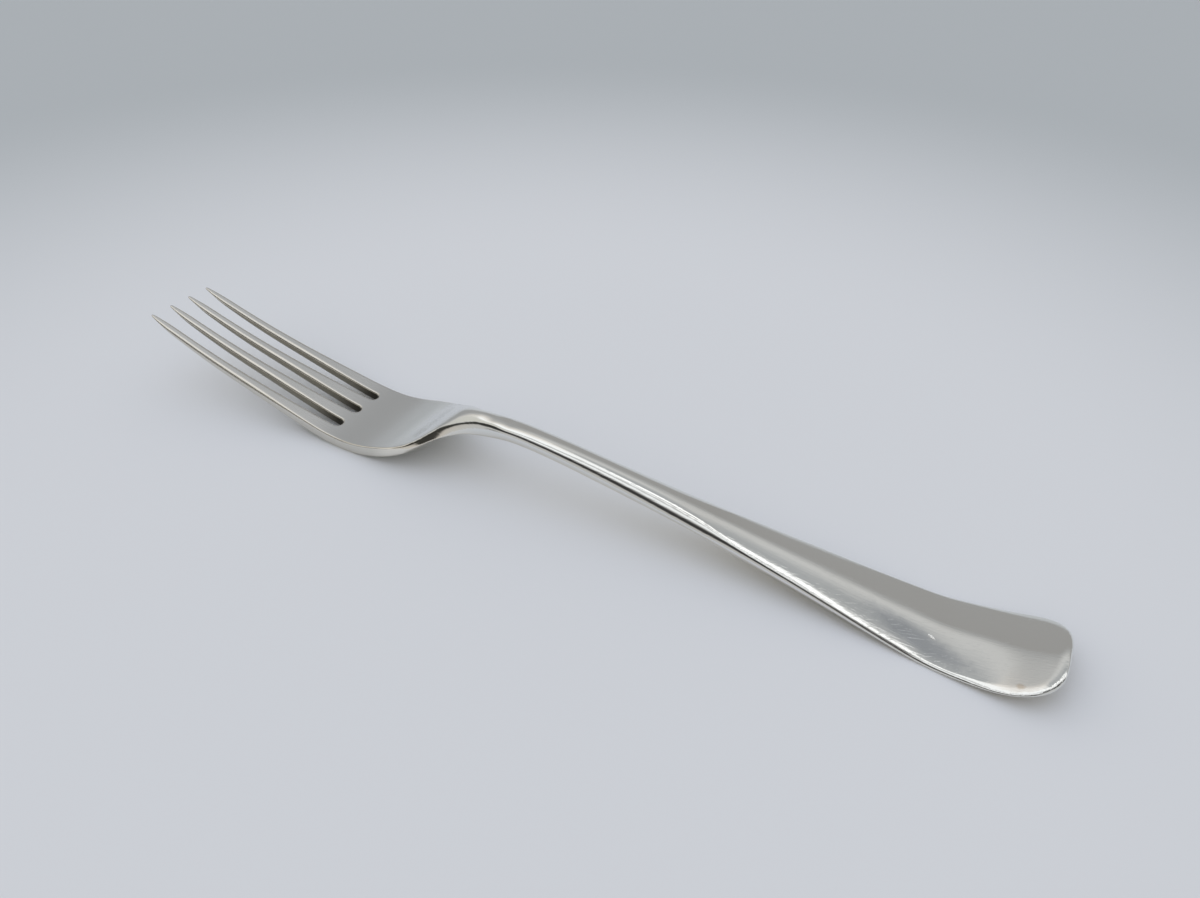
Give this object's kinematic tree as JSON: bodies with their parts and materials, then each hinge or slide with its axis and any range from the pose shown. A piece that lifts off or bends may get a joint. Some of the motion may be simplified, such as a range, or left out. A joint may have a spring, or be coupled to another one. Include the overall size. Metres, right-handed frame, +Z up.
{
  "type": "dinner fork",
  "caption": "Silver table fork lying on its back: slim tapered tines, a plain bowl, an arched neck and a ridged handle with a turned-up end.",
  "frame": {"origin": "on the table, under the middle of the fork's length and width, with the fork lying on its back", "axes": "+X from the tine tips to the handle end, +Y across, +Z up from the table"},
  "size_m": [0.205, 0.0218, 0.0165],
  "materials": {
    "silver": "polished silver, lightly scratched and tarnished from use"
  },
  "bodies": {
    "root": {"tine_1": "silver", "tine_2": "silver", "tine_3": "silver", "tine_4": "silver", "bowl": "silver", "neck": "silver", "stem": "silver", "handle_end": "silver"}
  },
  "joints": []
}
